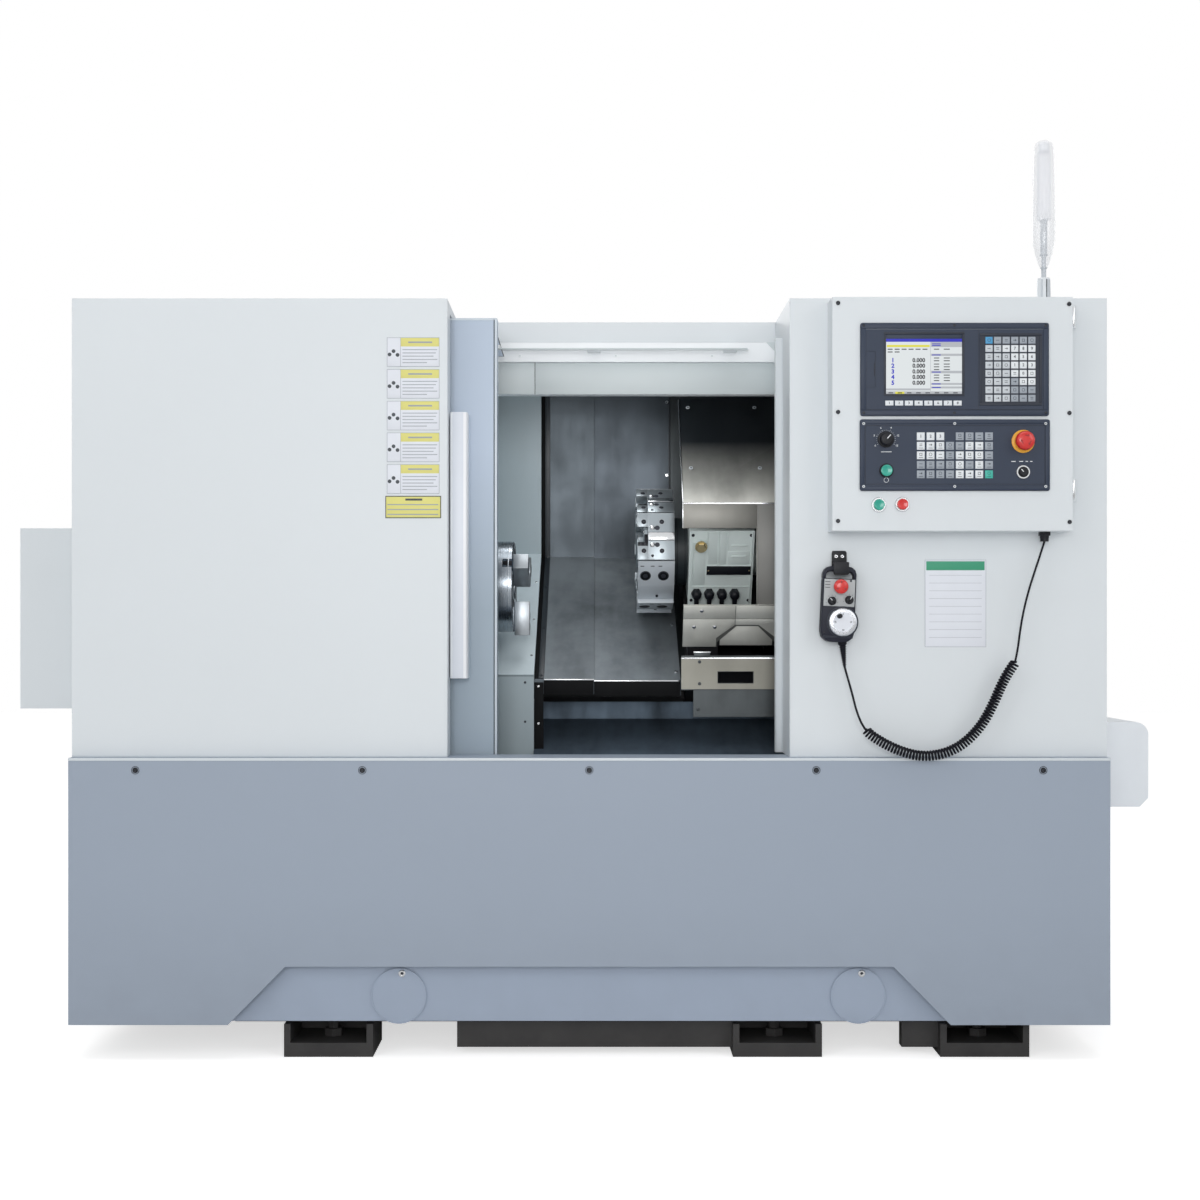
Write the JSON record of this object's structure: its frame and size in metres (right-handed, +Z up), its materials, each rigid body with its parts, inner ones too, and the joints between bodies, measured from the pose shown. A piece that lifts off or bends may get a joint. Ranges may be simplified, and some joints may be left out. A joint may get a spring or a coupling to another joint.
{
  "type": "cnc turning lathe",
  "caption": "Slant-bed turning lathe in a full sheet-metal enclosure, with a sliding door, a chuck and tool turret inside, a hinged control box and a hand-held pendant.",
  "frame": {"origin": "middle of the footprint of the whole machine, on the floor", "axes": "+X along the spindle towards the operator's right, +Y from the operator to the back, +Z up"},
  "size_m": [2.54, 1.522, 2.001],
  "materials": {
    "apron_grey": "fine textured blue-grey powder coat",
    "cover_white": "satin off-white powder coat",
    "door_grey": "satin light blue-grey powder coat",
    "inner_grey": "satin grey-green paint",
    "casting_black": "dark painted casting",
    "steel": "ground and brushed steel",
    "stainless": "brushed stainless sheet",
    "bright": "ground bright steel",
    "motor_black": "black motor enamel",
    "belt_rubber": "matt black rubber",
    "cord_black": "matt black cord jacket",
    "glass": "clear laminated glass",
    "black_plastic": "fine textured black plastic",
    "grey_plastic": "fine textured grey plastic",
    "red_plastic": "gloss red plastic",
    "green_plastic": "gloss green plastic",
    "lamp_plastic": "translucent coloured plastic"
  },
  "bodies": {
    "machine": {"bed_casting": "casting_black", "front_apron": "apron_grey", "plinth_panel": "apron_grey", "lift_hole_covers": "apron_grey", "rear_shell": "cover_white", "left_cover": "cover_white", "right_cover": "cover_white", "door_beam": "cover_white", "chamber_end_wall": "stainless", "headstock_guard": "inner_grey", "chip_chute": "apron_grey", "coolant_tank": "apron_grey", "headstock": "casting_black", "spindle_motor": "motor_black", "drive_belt": "belt_rubber", "z_rails": "bright", "z_motor": "motor_black", "way_cover_fixed": "stainless", "signal_lamp": "lamp_plastic", "spindle_end_cover": "cover_white", "lubricator_cover": "cover_white", "pendant_hook": "casting_black", "pendant_body": "black_plastic", "cord_gland": "black_plastic", "pendant_cord": "cord_black"},
    "door": {"door_panel": "door_grey", "door_window": "glass", "door_handle": "door_grey"},
    "spindle": {"spindle": "steel", "chuck_body": "steel", "hydraulic_cylinder": "steel"},
    "jaw_1": {"jaw_1": "steel"},
    "jaw_2": {"jaw_2": "steel"},
    "jaw_3": {"jaw_3": "steel"},
    "motor_pulley": {"motor_pulley": "steel"},
    "saddle": {"saddle": "casting_black", "x_rails": "bright", "saddle_guard": "stainless", "x_motor": "motor_black", "way_cover_moving": "stainless"},
    "z_screw": {"z_screw": "bright"},
    "x_screw": {"x_screw": "bright"},
    "cross_slide": {"cross_slide": "casting_black", "turret_housing": "casting_black", "turret_hood": "stainless"},
    "turret": {"turret_disc": "steel", "tool_holders": "steel"},
    "panel": {"control_door": "cover_white", "cnc_unit": "grey_plastic", "operator_panel": "grey_plastic"},
    "estop_button": {"estop_button": "red_plastic"},
    "feed_knob": {"feed_knob": "black_plastic"},
    "mode_key": {"mode_key": "steel"},
    "cycle_button": {"cycle_button": "green_plastic"},
    "power_on_button": {"power_on_button": "green_plastic"},
    "power_off_button": {"power_off_button": "red_plastic"},
    "pendant_estop": {"pendant_estop": "red_plastic"},
    "pendant_wheel": {"pendant_wheel": "black_plastic"},
    "pendant_axis_knob": {"pendant_axis_knob": "black_plastic"},
    "pendant_rate_knob": {"pendant_rate_knob": "black_plastic"}
  },
  "joints": [
    {"name": "door_slide", "type": "slide", "parent": "machine", "child": "door", "axis": [1, 0, 0], "range_m": [0, 0.62]},
    {"name": "spindle_turn", "type": "hinge", "parent": "machine", "child": "spindle", "pos_m": [-0.262, -0.339, 1.01], "axis": [1, 0, 0], "continuous": true},
    {"name": "jaw_1_slide", "type": "slide", "parent": "spindle", "child": "jaw_1", "axis": [0, 0.866, -0.5], "range_m": [0, 0.003]},
    {"name": "jaw_2_slide", "type": "slide", "parent": "spindle", "child": "jaw_2", "axis": [0, -0.866, -0.5], "range_m": [0, 0.003]},
    {"name": "jaw_3_slide", "type": "slide", "parent": "spindle", "child": "jaw_3", "axis": [0, 0, 1], "range_m": [0, 0.003]},
    {"name": "motor_turn", "type": "hinge", "parent": "machine", "child": "motor_pulley", "pos_m": [-0.82, -0.474, 0.4], "axis": [1, 0, 0], "continuous": true},
    {"name": "saddle_slide", "type": "slide", "parent": "machine", "child": "saddle", "axis": [1, 0, 0], "range_m": [-0.17, 0.115]},
    {"name": "z_screw_turn", "type": "hinge", "parent": "machine", "child": "z_screw", "pos_m": [-0.2, -0.03745, 0.83769], "axis": [1, 0, 0], "range_deg": [-6125, 4145]},
    {"name": "cross_slide", "type": "slide", "parent": "saddle", "child": "cross_slide", "axis": [0, 0.866, 0.5], "range_m": [-0.03, 0.13]},
    {"name": "x_screw_turn", "type": "hinge", "parent": "saddle", "child": "x_screw", "pos_m": [0.42, -0.244, 0.84545], "axis": [0, 0.866, 0.5], "range_deg": [-1352, 5852]},
    {"name": "turret_index", "type": "hinge", "parent": "cross_slide", "child": "turret", "pos_m": [0.198, -0.18398, 1.0995], "axis": [1, 0, 0], "continuous": true},
    {"name": "panel_hinge", "type": "hinge", "parent": "machine", "child": "panel", "pos_m": [1.0155, -0.709, 1.4], "axis": [0, 0, 1], "range_deg": [0, 100]},
    {"name": "estop_button_press", "type": "slide", "parent": "panel", "child": "estop_button", "axis": [0, 1, 0], "range_m": [0, 0.004]},
    {"name": "feed_knob_turn", "type": "hinge", "parent": "panel", "child": "feed_knob", "pos_m": [0.618, -0.739, 1.307], "axis": [0, 1, 0], "range_deg": [-135, 135]},
    {"name": "mode_key_turn", "type": "hinge", "parent": "panel", "child": "mode_key", "pos_m": [0.904, -0.739, 1.239], "axis": [0, 1, 0], "range_deg": [-45, 45]},
    {"name": "cycle_button_press", "type": "slide", "parent": "panel", "child": "cycle_button", "axis": [0, 1, 0], "range_m": [0, 0.004], "stiffness_N_per_m": 400},
    {"name": "power_on_button_press", "type": "slide", "parent": "panel", "child": "power_on_button", "axis": [0, 1, 0], "range_m": [0, 0.004], "stiffness_N_per_m": 400},
    {"name": "power_off_button_press", "type": "slide", "parent": "panel", "child": "power_off_button", "axis": [0, 1, 0], "range_m": [0, 0.004], "stiffness_N_per_m": 400},
    {"name": "pendant_estop_press", "type": "slide", "parent": "machine", "child": "pendant_estop", "axis": [0, 1, 0], "range_m": [0, 0.004]},
    {"name": "pendant_wheel_turn", "type": "hinge", "parent": "machine", "child": "pendant_wheel", "pos_m": [0.532, -0.709, 0.9265], "axis": [0, 1, 0], "continuous": true},
    {"name": "pendant_axis_knob_turn", "type": "hinge", "parent": "machine", "child": "pendant_axis_knob", "pos_m": [0.51, -0.709, 0.971], "axis": [0, 1, 0], "range_deg": [-60, 60]},
    {"name": "pendant_rate_knob_turn", "type": "hinge", "parent": "machine", "child": "pendant_rate_knob", "pos_m": [0.546, -0.709, 0.973], "axis": [0, 1, 0], "range_deg": [-60, 60]}
  ],
  "couplings": [
    {"joint": "jaw_2_slide", "follows": "jaw_1_slide", "ratio": 1},
    {"joint": "jaw_3_slide", "follows": "jaw_1_slide", "ratio": 1},
    {"joint": "motor_turn", "follows": "spindle_turn", "ratio": 1.5862},
    {"joint": "z_screw_turn", "follows": "saddle_slide", "rad_per_m": 628.32},
    {"joint": "x_screw_turn", "follows": "cross_slide", "rad_per_m": 785.4}
  ]
}
